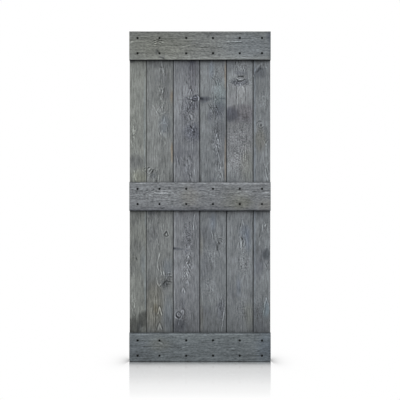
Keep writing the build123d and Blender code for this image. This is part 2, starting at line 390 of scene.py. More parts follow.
WOOD["board_3"] = make_wood(colour=(114, 117, 121), seed=13, ring_width=9.0, pith=[
    (0, 90, 60), (400, 84, 50), (640, 80, 45), (900, 84, 40), (1200, 110, 60), (1400, 102, 80),
    (1620, 88, 40), (1800, 70, 55), (2133, 75, 40),
], patches=[
    (9, 1000, 4, 1300, LIGHT, 6), (160, 310, 5, 90, PALE, 3), (160, 720, 5, 60, PALE, 3),
    (120, 225, 66, 40, DIM), (50, 420, 44, 80, LIGHT), (128, 270, 26, 120, PLUM, 2),
    (124, 192, 16, 18, NAVY), (142, 427, 24, 18, NAVY, 3), (82, 425, 12, 16, DIM, 2),
    (108, 474, 50, 36, MURK), (146, 476, 24, 34, DIM), (72, 540, 30, 44, DIM), (32, 526, 30, 34, LIGHT),
    (126, 648, 56, 56, NAVY), (150, 690, 20, 50, DIM), (125, 783, 36, 40, DIM), (40, 770, 50, 40, DIM),
    (34, 819, 30, 34, DIM), (88, 910, 32, 66, DIM), (35, 936, 22, 26, PALE), (45, 1290, 30, 50, PALE),
    (28, 1408, 34, 9, DARK, 4), (8, 1405, 12, 7, DARKER, 3), (98, 1330, 26, 70, DIM),
    (90, 1470, 26, 30, FAINT), (84, 1420, 13, 14, MURK), (126, 1336, 44, 100, FAINT),
    (34, 1456, 30, 32, LIGHT), (56, 1572, 56, 52, LIGHT), (62, 1760, 12, 60, DIM), (36, 1840, 24, 24, DIM),
    (36, 1910, 50, 42, DARK, 2),
], figures=[
    (120, 300, 40, 90, 0.3), (130, 410, 44, 50, 0.2, 0.6), (100, 500, 50, 60, 0.3, 0.9),
    (120, 645, 46, 60, 0.3, 1.2), (30, 845, 24, 50, 0.4), (120, 880, 40, 90, 0.5),
    (97, 1310, 30, 80, 0.15, 1.2), (90, 1500, 34, 120, 0.25, 0.5), (60, 1820, 50, 60, 0.2, 0.5),
], lines=[
    (-0.35, (113, 190), (114, 372)), (-0.35, (127, 190), (130, 330)), (-0.3, (146, 210), (147, 350)),
    (0.9, (110, 370), (104, 402)), (0.9, (122, 382), (118, 404)), (-0.7, (120, 378), (111, 402)),
    (0.4, (135, 364), (137, 386)), (0.4, (150, 364), (152, 388)), (-0.5, (130, 384), (131, 402)),
    (-0.4, (156, 372), (157, 396)), (0.8, (134, 423), (150, 420)), (0.9, (112, 448), (126, 452)),
    (-0.5, (84, 452), (96, 490), (90, 520)), (-0.6, (104, 456), (112, 500)),
    (-0.7, (128, 448), (114, 472), (100, 504)), (-0.6, (118, 446), (96, 464)),
    (-0.6, (142, 452), (134, 482)), (-0.45, (150, 450), (158, 482)), (0.5, (98, 470), (104, 512)),
    (-0.4, (114, 500), (136, 490), (156, 500)), (0.6, (88, 514), (92, 530)), (0.6, (104, 522), (114, 556)),
    (-0.7, (104, 540), (120, 578)), (-0.5, (130, 530), (140, 560)), (0.4, (140, 540), (136, 590)),
    (0.9, (140, 600), (128, 622)), (-0.4, (136, 640), (128, 676)), (0.5, (110, 640), (106, 666)),
    (-0.4, (92, 610), (100, 660)), (-0.4, (134, 620), (140, 670)), (0.4, (126, 700), (127, 768)),
    (0.8, (20, 800), (27, 836), (32, 878)), (0.5, (46, 812), (66, 836)), (0.5, (54, 864), (57, 880)),
    (-0.4, (36, 830), (44, 870)), (0.5, (109, 888), (112, 932)), (0.35, (136, 850), (140, 930)),
    (-0.3, (122, 800), (126, 900)), *chevrons((103, 1430), (82, 1594), 42, 6),
    (0.5, (140, 1212), (152, 1280)), (0.4, (88, 1290), (94, 1310), (88, 1324)),
    (0.4, (105, 1296), (98, 1318)), (0.3, (78, 1376), (96, 1366)),
    (-0.4, (108, 1414), (116, 1460), (122, 1518)), (0.5, (93, 1516), (80, 1536)),
    (0.4, (90, 1540), (97, 1566)), (-0.4, (70, 1574), (66, 1596)), (0.3, (96, 1600), (96, 1648)),
    (-0.4, (66, 1676), (66, 1700)), (-0.4, (62, 1700), (60, 1776)),
    (0.75, (14, 1850), (28, 1864), (39, 1867), (51, 1859), (56, 1844)), (0.6, *oval(36, 1834, 9, 9)),
    (0.7, (35, 1882), (34, 1902)), (-0.4, (70, 1862), (72, 1888)), (-0.4, (26, 1880), (28, 1898)),
], broad=[
    (-1, 3.5, (122, 424), (135, 415), (152, 408)), (-0.9, 3.2, (130, 430), (153, 429)),
    (-1.2, 4, (124, 440), (139, 446), (157, 441)), (1.5, 3.6, (112, 434), (127, 416)),
    (1.5, 3.4, (155, 410), (167, 424), (163, 444)), (-0.25, 4, (24, 438), (58, 441), (92, 436)),
    (-0.6, 4, (78, 420), (100, 432), (116, 444)), (1.2, 3.4, (112, 530), (128, 566)),
    (1.3, 3.6, (124, 628), (127, 648)), (-0.8, 3.4, (112, 600), (124, 626)),
    (1, 3.2, (139, 1182), (133, 1224), (132, 1286)), (0.6, 3.4, (101, 1440), (96, 1474), (84, 1508)),
    (0.8, 3.2, (74, 1568), (86, 1556), (94, 1582)), (0.85, 3.5, (57, 1686), (66, 1662), (76, 1692)),
    (-0.7, 3.4, (17, 1832), (25, 1851), (37, 1860), (50, 1848)), (-0.55, 3, *oval(36, 1834, 17, 18)),
    (1.1, 3.4, (52, 1820), (60, 1806), (68, 1808), (67, 1834)),
], flecks=[
    (145, 408, -0.7), (157, 408, -0.7), (110, 460, 0.7), (109, 470, -0.5), (126, 481, 0.6), (148, 488, 0.6),
    (106, 1397, 0.9, 3.2), (79, 1592, 0.8, 3.2), (60, 1605, 0.5), (85, 1578, -0.5), (21, 1832, -0.6),
    (30, 1826, -0.7), (39, 1850, 0.9), (60, 1871, 0.6), (41, 1941, 0.6),
])

WOOD["board_4"] = make_wood(colour=(113, 117, 120), seed=14, ring_width=9.0, pith=[
    (0, 62, 40), (450, 66, 40), (640, 72, 46), (800, 86, 45), (960, 100, 60), (1230, 60, 50),
    (1400, 60, 50), (1700, 80, 50), (1800, 100, 60), (2133, 100, 40),
], patches=[
    (28, 320, 26, 100, LIGHT, 2), (40, 435, 50, 30, FAINT), (130, 345, 40, 70, LIGHT),
    (75, 240, 14, 50, SKY), (130, 400, 40, 90, TEAL), (118, 318, 14, 24, DIM), (166, 270, 5, 90, ORANGE, 3),
    (166, 820, 5, 150, ORANGE, 3), (20, 434, 38, 20, MURK, 4), (36, 430, 52, 14, DARK, 3),
    (8, 430, 14, 9, DARKER, 3), (146, 430, 22, 6, DARK, 2), (120, 500, 40, 48, MURK),
    (66, 542, 13, 46, MURK, 2), (128, 660, 44, 190, DIM, 3), (136, 670, 30, 50, FAINT),
    (24, 560, 24, 90, PALE), (80, 955, 30, 18, DIM), (80, 1180, 100, 40, FAINT), (40, 1310, 34, 50, DIM),
    (85, 1230, 18, 60, BLUE), (82, 1378, 28, 30, DIM), (10, 1390, 14, 60, WARM), (138, 234, 28, 30, LIGHT),
    (34, 1515, 34, 100, DIM), (88, 1748, 30, 32, LIGHT), (34, 1807, 32, 36, DIM),
    (138, 1800, 22, 60, MURK, 2), (12, 1850, 14, 90, WARM),
], figures=[
    (118, 300, 36, 80, 0.4, 0.6), (112, 440, 40, 60, 0.4, 0.6), (105, 530, 44, 60, 0.4, 0.6),
    (112, 700, 34, 80, 0.6, 0.6), (130, 880, 30, 80, 0.6), (130, 1360, 40, 60, 0.1, 0.4),
    (70, 1450, 44, 60, 0.15, 0.5), (60, 1650, 44, 60, 0.1, 0.45), (138, 1800, 26, 80, 0.2, 0.6),
], lines=[
    (0.35, (73, 200), (76, 290)), (-0.65, (78, 290), (104, 322), (112, 346)),
    (-0.6, (116, 310), (122, 348)), (-0.5, (96, 286), (120, 300)), (-0.5, (124, 296), (132, 330)),
    (0.4, (88, 300), (84, 362)), (0.8, (92, 440), (95, 478), (112, 502)), (0.5, (104, 410), (100, 440)),
    (-0.4, (50, 462), (78, 500), (96, 540)), (-0.45, (66, 458), (92, 500), (108, 545)),
    (-0.5, (84, 470), (108, 512), (124, 560)), (-0.4, (106, 478), (126, 522)),
    (0.4, (120, 500), (126, 520)), (0.6, (141, 518), (150, 540)), (0.8, (101, 622), (108, 662), (122, 708)),
    (-0.5, (112, 622), (124, 684)), (0.5, (84, 768), (96, 784)), (0.9, (120, 740), (128, 758)),
    (-0.5, (126, 728), (134, 746)), (0.6, (104, 733), (112, 752)), (0.7, (112, 770), (120, 786)),
    (-0.5, (120, 764), (126, 790)), (0.8, (117, 780), (128, 816), (135, 862), (142, 908), (155, 962)),
    (0.5, (137, 880), (130, 968)), (0.55, (82, 1226), (80, 1292)), (0.4, (99, 1296), (101, 1356)),
    (-0.35, (90, 1304), (90, 1348)), (0.5, (161, 1352), (166, 1374), (162, 1400)),
    (0.4, (130, 1410), (130, 1430)), (0.4, (60, 1418), (64, 1458)), (0.4, (96, 1423), (98, 1464)),
    (0.5, (40, 1636), (52, 1652)), (0.5, (141, 1717), (135, 1760)), (0.6, (151, 1736), (145, 1790)),
    (0.9, (161, 1784), (157, 1823), (148, 1868), (141, 1944)),
], broad=[
    (0.75, 3, (77, 1292), (83, 1330), (81, 1347)), (0.8, 3, (114, 1357), (116, 1371)),
    (-0.9, 5, (123, 1361), (128, 1378)), (-0.6, 3.5, (137, 1349), (145, 1365)),
    (-0.7, 3.5, (120, 1345), (134, 1340), (150, 1344)), (-0.6, 5, (111, 1376), (115, 1422)),
    (-0.5, 3.5, (124, 1428), (130, 1456)),
], flecks=[
    (37, 1403, -0.5), (48, 1416, -0.5), (75, 1455, -0.8, 3.2), (84, 1459, 0.5), (77, 1676, -0.7),
    (86, 1675, 0.5), (128, 1738, -0.8), (144, 1765, -0.8), (135, 1797, -0.8), (147, 1824, -0.6),
])

WOOD["board_5"] = make_wood(colour=(116, 120, 123), seed=15, ring_width=9.0, pith=[
    (0, 90, 40), (290, 92, 55), (480, 94, 50), (700, 105, 60), (1000, 110, 45), (1222, 103, 70),
    (1420, 104, 60), (1800, 95, 60), (2133, 95, 45),
], patches=[
    (26, 215, 28, 28, DIM), (9, 390, 6, 110, LIGHT, 3), (90, 380, 90, 90, LIGHT),
    (92, 266, 42, 14, MURK, 2), (82, 334, 34, 20, MURK, 2), (54, 322, 26, 18, DARK, 1.2),
    (128, 324, 22, 20, DARK, 1.2), (36, 284, 28, 26, LIGHT), (95, 408, 28, 62, PALE, 4),
    (150, 400, 24, 70, PALE), (86, 620, 120, 300, BLUSH, 3), (100, 528, 120, 60, PLUM, 4, 0.4),
    (20, 534, 60, 46, INK, 3, 0.3), (120, 520, 50, 44, ROSE, 3), (85, 590, 100, 50, FAINT),
    (140, 870, 40, 110, OLIVE), (50, 861, 60, 50, LIGHT), (140, 1360, 18, 60, BLUE),
    (80, 1650, 14, 60, BLUE), (120, 1300, 28, 50, BLUE), (130, 1260, 44, 70, FAINT),
    (50, 1650, 50, 90, FAINT), (34, 1690, 30, 34, DIM), (150, 1840, 30, 80, OLIVE),
], figures=[
    (90, 230, 44, 50, 0.1, 0.7), (90, 325, 70, 26, 0.1, 1.6), (130, 540, 50, 60, 0.1, 0.4),
    (85, 690, 85, 90, 0.1, 0.9), (70, 830, 60, 70, 0.1, 1.0), (106, 1330, 26, 60, 0.1, 0.6),
    (110, 1490, 30, 80, 0.15, 1.0), (100, 1800, 40, 60, 0.0, 0.6),
], lines=[
    (-0.5, (58, 188), (57, 216)), (0.5, (67, 190), (66, 214)), (-0.55, (58, 228), (57, 248)),
    (0.6, (67, 228), (66, 248)), (-0.4, (77, 185), (78, 202)), (0.5, (86, 185), (87, 208)),
    (0.5, (86, 219), (98, 219)), (-0.4, (78, 226), (92, 226)), (-0.4, (82, 259), (102, 260)),
    (0.5, (86, 268), (94, 267)), (-0.4, (72, 273), (81, 272)), (-0.4, (40, 312), (62, 346)),
    (-0.3, (32, 322), (52, 348)), (-0.4, (54, 316), (66, 332)), (-0.45, (118, 328), (133, 341)),
    (-0.4, (106, 326), (112, 342)), (-0.3, (124, 318), (140, 327)), (-0.5, (64, 350), (63, 472)),
    (-0.5, (123, 350), (124, 448)), (0.4, (72, 350), (70, 470)), (-0.4, (90, 426), (104, 432)),
    (-0.4, (92, 636), (110, 650), (132, 654)), (-0.4, (100, 706), (120, 716), (132, 709)),
    (0.45, (110, 722), (111, 834)), (0.45, (122, 722), (124, 834)), (-0.4, (62, 786), (84, 790)),
    (-0.4, (76, 830), (94, 839)), (0.4, (130, 890), (132, 938)), (0.5, (100, 970), (106, 944)),
    (0.7, (97, 1256), (106, 1222), (114, 1256)), (0.4, (97, 1256), (92, 1278)),
    (-0.4, (95, 1234), (86, 1280)), (-0.3, (116, 1248), (124, 1276)),
    (-0.6, (107, 1354), (105, 1386), (112, 1398)), (0.65, (108, 1334), (119, 1362), (111, 1397)),
    (-0.4, (125, 1366), (114, 1400)), (-0.4, (84, 1366), (86, 1404)),
], broad=[
    (-1.1, 4.6, (75, 286), (111, 286)),
    (0.75, 3.4, (66, 294), (80, 304), (91, 307), (102, 304), (118, 293)),
    (-0.8, 3.5, (62, 300), (76, 316), (90, 318), (104, 316), (120, 302)), (-0.5, 4, (70, 330), (85, 336)),
    (0.5, 3, (74, 390), (80, 358), (95, 350), (110, 358), (116, 392)),
    (0.18, 6, (6, 482), (36, 472), (62, 462)), (-1.1, 6, (96, 1332), (104, 1342), (108, 1350)),
    (0.9, 4.5, (94, 1358), (97, 1406)),
], flecks=[
    (104, 232, -0.6), (111, 233, 0.4), (118, 232, -0.45), (97, 247, -0.45), (104, 246, 0.4),
    (111, 247, -0.6), (125, 245, -0.4), (92, 337, 1.6, 3.4), (95, 1344, 0.7), (113, 1324, 0.4),
    (112, 1430, 0.6), (124, 1446, 0.5), (142, 1443, -0.5), (128, 1462, -0.5), (124, 1505, -0.6),
    (107, 1524, 0.8), (97, 1541, 0.5), (91, 1538, -0.5), (129, 1551, 0.5),
])

WOOD["board_6"] = make_wood(colour=(113, 117, 120), seed=16, ring_width=9.0, pith=[
    (0, 70, 45), (600, 55, 50), (730, 84, 40), (940, 88, 60), (1250, 82, 45), (1500, 88, 55),
    (1740, 85, 60), (2133, 70, 40),
], patches=[
    (12, 900, 5, 1000, SKY, 4), (44, 260, 40, 40, DARK, 2), (36, 390, 32, 110, FAINT),
    (56, 426, 50, 70, PALE), (50, 690, 60, 80, FAINT, 2), (44, 700, 38, 70, BROWN, 2),
    (84, 810, 26, 70, LIGHT), (36, 1531, 32, 44, MURK), (84, 1609, 26, 44, LIGHT),
    (84, 1441, 27, 32, SMUDGE, 2), (66, 1448, 60, 64, DIM), (90, 1795, 13, 52, SKY, 3),
    (40, 1850, 40, 70, DIM), (60, 1924, 70, 28, DIM), (82, 1806, 24, 44, TEAL), (30, 1180, 40, 36, DIM),
], figures=[
    (66, 225, 34, 20, 0.2, 0.6), (70, 440, 30, 60, 0.3, 0.5), (55, 640, 40, 60, 0.2, 0.5),
    (84, 900, 20, 60, 0.4), (80, 1270, 26, 40, 0.4), (84, 1510, 20, 40, 0.3), (50, 1800, 40, 80, 0.2, 0.5),
], lines=[
    (0.2, *oval(52, 605, 13, 15)), (-0.5, (33, 619), (52, 623), (71, 613)), (0.35, (30, 594), (30, 612)),
    (0.5, *oval(62, 227, 9, 10)), (0.4, (80, 222), (94, 236)), (0.3, (72, 440), (84, 482)),
    (0.3, (96, 450), (88, 492)), (0.3, (64, 388), (62, 422)), (0.6, (70, 702), (84, 734), (98, 704)),
    (-0.3, (68, 694), (84, 722), (98, 694)), (0.7, (78, 882), (88, 934), (98, 970)),
    (0.5, (64, 1246), (60, 1302)), (0.9, (74, 1268), (80, 1252), (98, 1245)), (0.4, (92, 1268), (96, 1302)),
    (0.4, (70, 1406), (84, 1395), (98, 1401)), (-0.4, (72, 1490), (88, 1528)),
    (0.5, (74, 1498), (88, 1538), (98, 1506)), (0.9, (68, 1838), (74, 1770), (85, 1727), (100, 1772)),
    (-0.4, (34, 1804), (36, 1826)),
], broad=[
    (-0.85, 5, (47, 611), (57, 598)), (-0.55, 3.2, (25, 591), (39, 578), (58, 580)),
    (0.5, 5, (10, 254), (26, 228), (45, 209), (60, 203)), (-0.5, 6, (24, 264), (38, 240), (54, 224)),
    (0.5, 3.5, (56, 1318), (42, 1340), (42, 1392)),
], flecks=[
    (3, 282, 2.5), (84, 1727, 0.5),
])

WOOD["top_rail"] = make_wood(colour=(113, 116, 115), seed=21, ring_width=10.0, pith=[
    (0, -40, 40), (190, -30, 30), (450, -50, 50), (700, -30, 40), (914, -40, 50),
], patches=[
    (90, 50, 60, 34, FAINT), (90, 180, 90, 220, OLIVE), (90, 800, 90, 180, BLUE), (85, 640, 44, 150, PALE),
    (140, 170, 46, 200, FAINT), (112, 438, 26, 36, DIM), (50, 530, 40, 50, FAINT),
    (10, 457, 16, 600, LIGHT), (50, 178, 20, 10, DARK), (165, 540, 24, 60, DIM), (174, 457, 14, 600, FAINT),
    (90, 908, 100, 12, DIM, 3), (160, 904, 34, 20, NAVY), (18, 212, 14, 14, MURK),
], figures=[
    (92, 457, 150, 700, 0.42, 0.55), (118, 185, 24, 40, 0.1, 0.6),
], lines=[
    (0.5, (94, 20), (97, 120), (95, 207)), (0.35, (150, 70), (151, 138)),
    (0.5, (92, 138), (95, 165), (90, 197)), (-0.6, (124, 158), (132, 180), (126, 208), (120, 230)),
    (0.4, (116, 156), (125, 178), (118, 206), (108, 222)),
    (-0.6, (108, 158), (117, 178), (110, 204), (104, 216)), (0.35, (104, 160), (109, 182), (101, 208)),
    (-0.6, (100, 162), (101, 184)), (1.2, (119, 626), (119, 724)), (-0.5, (81, 453), (82, 514)),
    (-0.5, (81, 558), (82, 604)), (-0.4, (136, 680), (138, 812)), (-0.4, (120, 760), (112, 814)),
    (-0.4, (155, 250), (154, 332)), (0.35, (112, 420), (106, 482)), (0.35, (80, 330), (96, 400), (88, 472)),
], broad=[
    (1.1, 4, (114, 8), (115, 30)), (-0.3, 6, (64, 186), (44, 194)), (-0.6, 3.5, (19, 194), (6, 230)),
])

WOOD["middle_rail"] = make_wood(colour=(113, 116, 119), seed=22, ring_width=10.0, pith=[
    (0, 230, 40), (230, 220, 30), (450, 240, 50), (730, 215, 40), (914, 230, 45),
], patches=[
    # The glint along the top edge, at across 176, is a painted highlight; the dark strip at across 3, along
    # the bottom edge, is painted shade.
    (176, 457, 4, 900, GLINT, 6), (105, 240, 44, 130, PALE), (154, 438, 24, 50, DIM),
    (70, 660, 24, 40, FAINT), (50, 640, 46, 220, FAINT), (90, 390, 60, 50, WARM), (40, 740, 40, 60, OLIVE),
    (60, 690, 70, 80, OLIVE), (30, 880, 40, 40, WARM), (14, 457, 12, 600, DIM), (3, 457, 5, 900, DARK, 6),
], figures=[
    (92, 457, 150, 700, 0.4, 0.6), (112, 160, 34, 110, 0.2, 0.5), (105, 800, 40, 120, 0.3),
], lines=[
    (0.6, (130, 80), (122, 122), (118, 180)), (-0.5, (128, 100), (126, 152)), (0.35, (100, 118), (96, 152)),
    (0.4, (122, 178), (120, 202)), (0.35, (98, 700), (108, 762)), (-0.4, (104, 740), (96, 802)),
    (-0.6, (102, 878), (100, 914)), (0.5, (92, 876), (90, 910)), (-0.6, (14, 204), (18, 228)),
    (0.3, (128, 460), (100, 540), (86, 620)), (0.4, (88, 618), (90, 662)), (0.4, (76, 620), (78, 658)),
    (0.3, (140, 450), (132, 522)),
], broad=[
    (0.5, 3.2, (114, 180), (112, 236), (114, 296)), (0.2, 5, (116, 204), (113, 250)),
    (0.5, 4, (115, 678), (127, 730), (122, 792)), (0.6, 4, (120, 874), (118, 908)),
])

# Darker than the other rails, partly as painted shade of the dimmer light near the floor.
WOOD["bottom_rail"] = make_wood(colour=(98, 104, 107), seed=23, ring_width=10.0, pith=[
    (0, -40, 40), (300, -60, 30), (600, -40, 50), (914, -50, 40),
], patches=[
    # The gleam along the top edge, at across 175, is a painted highlight.
    (175, 457, 4, 900, GLEAM, 6), (152, 457, 24, 900, PALE, 3), (92, 40, 110, 80, DIM),
    (92, 914, 110, 14, DIM, 3), (100, 880, 100, 50, BLUE), (110, 200, 40, 60, WARM),
    (100, 285, 60, 70, FAINT), (40, 457, 40, 600, FAINT),
], figures=[
    (92, 457, 150, 700, 0.38, 0.5), (95, 220, 50, 120, 0.2),
], lines=[
    (0.6, (124, 188), (116, 216)), (0.4, (108, 200), (112, 216)), (-0.4, (92, 90), (100, 150), (96, 202)),
    (0.35, (98, 100), (104, 162)), (-0.4, (88, 260), (96, 300), (86, 322)), (0.4, (82, 262), (76, 302)),
    (0.4, (84, 330), (100, 382)), (0.3, (142, 80), (140, 152)), (-0.4, (128, 240), (130, 262)),
    (0.3, (86, 640), (88, 682)), (0.3, (92, 740), (94, 802)), (0.3, (100, 540), (90, 592)),
], broad=[
    (-0.7, 4, (70, 826), (69, 844)), (-0.7, 4, (20, 678), (16, 696)),
])


class Graph:
    """A short way to add and link the nodes of one tree."""

    def __init__(self, tree):
        self.tree = tree
        tree.nodes.clear()

    def node(self, kind, inputs=None, **settings):
        made = self.tree.nodes.new(kind)
        for name, value in settings.items():
            setattr(made, name, value)
        for name, value in (inputs or {}).items():
            if isinstance(value, bpy.types.NodeSocket):
                self.tree.links.new(value, made.inputs[name])
            else:
                made.inputs[name].default_value = value
        return made

    def math(self, operation, a, b=0.0, clamp=False):
        return self.node("ShaderNodeMath", {0: a, 1: b}, operation=operation, use_clamp=clamp).outputs[0]

    def scaled(self, value, times, plus):
        return self.math("ADD", self.math("MULTIPLY", value, times), plus)

    def about(self, value, middle, strength):
        """How far a value is from its middle, times a strength."""
        return self.math("MULTIPLY", self.math("SUBTRACT", value, middle), strength)

    def noise(self, place, stretch, detail=3.0):
        """Noise with that many cells a metre each way."""
        spot = self.node("ShaderNodeVectorMath", {0: place, 1: stretch}, operation="MULTIPLY").outputs[0]
        settings = {"Vector": spot, "Scale": 1.0, "Detail": detail, "Roughness": NOISE_ROUGHNESS}
        return self.node("ShaderNodeTexNoise", settings).outputs[0]

    def mix(self, factor, a, b):
        return self.node("ShaderNodeMix", {0: factor, 6: a, 7: b}, data_type="RGBA").outputs[2]

    def step(self, value, low, high):
        """A smooth step from 0 at low to 1 at high."""
        ends = {"Value": value, "From Min": low, "From Max": high}
        return self.node("ShaderNodeMapRange", ends, interpolation_type="SMOOTHSTEP").outputs[0]

    def curve(self, value, stops):
        """A value read off a line through (place, height) stops, from 0 to 1."""
        made = self.node("ShaderNodeValToRGB", {0: value})
        elements = made.color_ramp.elements
        while len(elements) < len(stops):
            elements.new(0.5)
        for element, (place, height) in zip(elements, stops):
            element.position = place
            element.color = (height, height, height, 1)
        return made.outputs[0]


def ramp(value, low, high):
    """A smooth step from 0 at low to 1 at high."""
    t = np.clip((value - low) / (high - low), 0, 1)
    return t * t * (3 - 2 * t)


def fade(distance, start, end):
    """1 up to start, falling smoothly to 0 at end."""
    return 1 - ramp(distance, start, end)


def lattice_noise(seed, across, along):
    """Smooth noise from -1 to 1, with one lattice point a unit each way."""
    size = 128
    table = np.random.default_rng(seed).uniform(-1, 1, (size, size))
    column = np.floor(across).astype(int)
    row = np.floor(along).astype(int)
    s = ramp(across - column, 0, 1)
    t = ramp(along - row, 0, 1)
    left, right = column % size, (column + 1) % size
    near, far = row % size, (row + 1) % size
    lower = table[left, near] * (1 - s) + table[right, near] * s
    upper = table[left, far] * (1 - s) + table[right, far] * s
    return lower * (1 - t) + upper * t


def wave(wood, shape, across, along):
    """One slow wave of a piece of wood, between minus and plus its strength."""
    noise = lattice_noise(wood.seed + shape.seed, across / shape.across, along / shape.along)
    return shape.strength * noise


def bell(across, along, spot, crisp=SOFT_EDGE):
    """1 in the middle of a patch or figure, falling to 0 past its edges."""
    distance = ((across - spot.across) / spot.half_across) ** 2
    distance = distance + ((along - spot.along) / spot.half_along) ** 2
    return np.exp(-BELL_FALL * distance ** crisp)


def streak_share(across, along, streak):
    """1 on a streak's line, falling to 0 beside it and towards its ends."""
    points = np.array(streak.points, float)
    reach = STREAK_REACH * streak.width
    low, high = points.min(0) - reach, points.max(0) + reach
    near = (across > low[0]) & (across < high[0]) & (along > low[1]) & (along < high[1])
    place = np.stack([across[near], along[near]], -1)
    spans = np.linalg.norm(np.diff(points, axis=0), axis=1)
    total = spans.sum()
    best = np.full(len(place), np.inf)
    travelled = np.zeros(len(place))
    for start, end, span, before in zip(points, points[1:], spans, np.cumsum(spans) - spans):
        t = np.clip((place - start) @ (end - start) / span ** 2, 0, 1)
        distance = np.linalg.norm(place - start - t[:, None] * (end - start), axis=1)
        closer = distance < best
        best = np.where(closer, distance, best)
        travelled = np.where(closer, before + t * span, travelled)
    taper = ramp(np.minimum(travelled, total - travelled), *STREAK_TAPER)
    off = best / streak.width
    share = np.zeros(across.shape)
    halo = HALO if streak.width < BROAD_FROM else BROAD_HALO
    share[near] = taper * (np.exp(-off * off) - halo * np.exp(-((off - HALO_PLACE) ** 2)))
    return share


def wood_stain(wood, across, along):
    """The stained colour at each point of a face: patches and streaks, both a little ragged. Some patches
    are painted highlights and shade.
    """
    sway_across = sum(wave(wood, shape, across, along) for shape in RAGGED_ACROSS)
    sway_along = sum(wave(wood, shape, across, along) for shape in RAGGED_ALONG)
    stain_and_painted_light = np.ones(across.shape + (3,)) * wood.colour
    for patch in wood.patches:
        ragged_across = across + patch.ragged * sway_across * min(1, patch.half_across / RAGGED_FROM[0])
        ragged_along = along + patch.ragged * sway_along * min(1, patch.half_along / RAGGED_FROM[1])
        share = bell(ragged_across, ragged_along, patch, patch.crisp)
        stain_and_painted_light = stain_and_painted_light * (1 + share[..., None] * (np.array(patch.tint) - 1))
    shaky_across = across + wave(wood, SHAKY_ACROSS, across, along)
    shaky_along = along + wave(wood, SHAKY_ALONG, across, along)
    broken = STREAK_EVEN + wave(wood, BREAKS, across, along)
    for streak in wood.streaks:
        share = broken * streak_share(shaky_across, shaky_along, streak)
        change = 1 + STREAK_STRENGTH * streak.gain * share
        stain_and_painted_light = stain_and_painted_light * np.clip(change, DARKEST_STREAK, None)[..., None]
    return stain_and_painted_light


def grain_fields(wood, across, along, depth):
    """What the wood is like at each point: place across the grain, rings, their contrast and grit."""
    flow = across + wave(wood, FLOW, across, along)
    contrast = PLAIN_CONTRAST + wave(wood, CONTRAST, across, along)
    grit = np.zeros(across.shape)
    for figure in wood.figures:
        share = bell(across, along, figure)
        contrast = contrast + figure.contrast * share
        grit = grit + figure.grit * share

    pith_along, pith_across, pith_depth = np.array(wood.pith, float).T
    aside = flow - np.interp(along, pith_along, pith_across) - wave(wood, PITH_ACROSS, across, along)
    below = depth + np.interp(along, pith_along, pith_depth) + wave(wood, PITH_DEPTH, across, along)
    radius = np.hypot(aside, below)
    rings = radius / wood.ring_width + wave(wood, RINGS, across, along)
    spacing = wood.ring_width * radius / (abs(aside) + 0.1)  # finite over the pith too
    open_rings = ramp(spacing, wood.ring_width, FLAT_SAWN * wood.ring_width)
    contrast = contrast * (EDGE_GRAIN + (1 - EDGE_GRAIN) * open_rings)
    return flow, rings, contrast, grit


def spaced(length, step, ease):
    """Places from 0 to length about a step apart, with closer ones near both ends."""
    ends = np.array([0.0, *ease])
    inner = np.linspace(ends[-1], length - ends[-1], round((length - 2 * ends[-1]) / step) + 1)
    return np.concatenate([ends[:-1], inner, (length - ends[:-1])[::-1]])


def edge_levels(profile, thickness, arris):
    """Points down one long edge between the faces, as (how far outside the edge, depth)."""
    top, foot = arris + LEVEL_MARGIN, thickness - arris - LEVEL_MARGIN
    if not profile:
        return [(0.0, d) for d in np.linspace(top, foot, EDGE_LEVELS)]
    return [(0.0, top), (0.0, profile[0][1]), *profile, (0.0, profile[-1][1]), (0.0, foot)]


def quads(sheet):
    """Faces of a sheet of vertex numbers."""
    corners = [sheet[:-1, :-1], sheet[1:, :-1], sheet[1:, 1:], sheet[:-1, 1:]]
    return np.stack(corners, -1).reshape(-1, 4).tolist()


Plank = namedtuple(
    "Plank", "faces across along depth low_edge high_edge end front back low_side high_side"
)


def plank_lattice(width, length, thickness, arris, low_profile, high_profile):
    """A closed plank: the skin of a lattice of columns, rows and levels, with fewer rows behind."""
    columns = spaced(width, COLUMN_STEP, COLUMN_EASE)
    rows = spaced(length, ROW_STEP, ROW_EASE)
    low_levels = [(0.0, 0.0), *edge_levels(low_profile, thickness, arris), (0.0, thickness)]
    high_levels = [(0.0, 0.0), *edge_levels(high_profile, thickness, arris), (0.0, thickness)]
    last = len(low_levels) - 1
    close = len(ROW_EASE) + 1
    inner = range(close, len(rows) - close)
    kept = [n for n in range(len(rows)) if n not in inner or n % BACK_STEP == 0]

    skin = np.zeros((len(columns), len(rows), last + 1), bool)
    skin[[0, -1]] = True
    skin[:, [0, -1]] = True
    skin[:, :, 0] = True
    skin[:, :, last] = False
    skin[:, kept, last] = True
    number = np.full(skin.shape, -1)
    number[skin] = np.arange(skin.sum())

    faces = quads(number[:, :, 0].T) + quads(number[:, kept, last])
    faces += quads(number[:, 0]) + quads(number[:, -1].T)
    faces += quads(number[0, :, :last]) + quads(number[-1, :, :last].T)
    for a, b in zip(kept, kept[1:]):
        for side, turn in ((0, 1), (-1, -1)):
            strip = [*number[side, a:b + 1, last - 1], number[side, b, last], number[side, a, last]]
            faces.append([int(n) for n in strip[::turn]])

    i, j, k = np.nonzero(skin)
    out_low, deep_low = np.array(low_levels).T
    out_high, deep_high = np.array(high_levels).T
    share = columns[i] / width
    across = -out_low[k] * (1 - share) + (width + out_high[k]) * share
    even = np.linspace(0, thickness, last + 1)[k]
    near_low = np.clip(1 - columns[i] / JOINT_REACH, 0, 1)
    near_high = np.clip(1 - (width - columns[i]) / JOINT_REACH, 0, 1)
    depth = even + near_low * (deep_low[k] - even) + near_high * (deep_high[k] - even)
    between = (k > 0) & (k < last)
    return Plank(
        faces, across, rows[j], depth, columns[i], width - columns[i],
        np.minimum(rows[j], length - rows[j]), k == 0, k == last,
        between & (i == 0), between & (i == len(columns) - 1),
    )


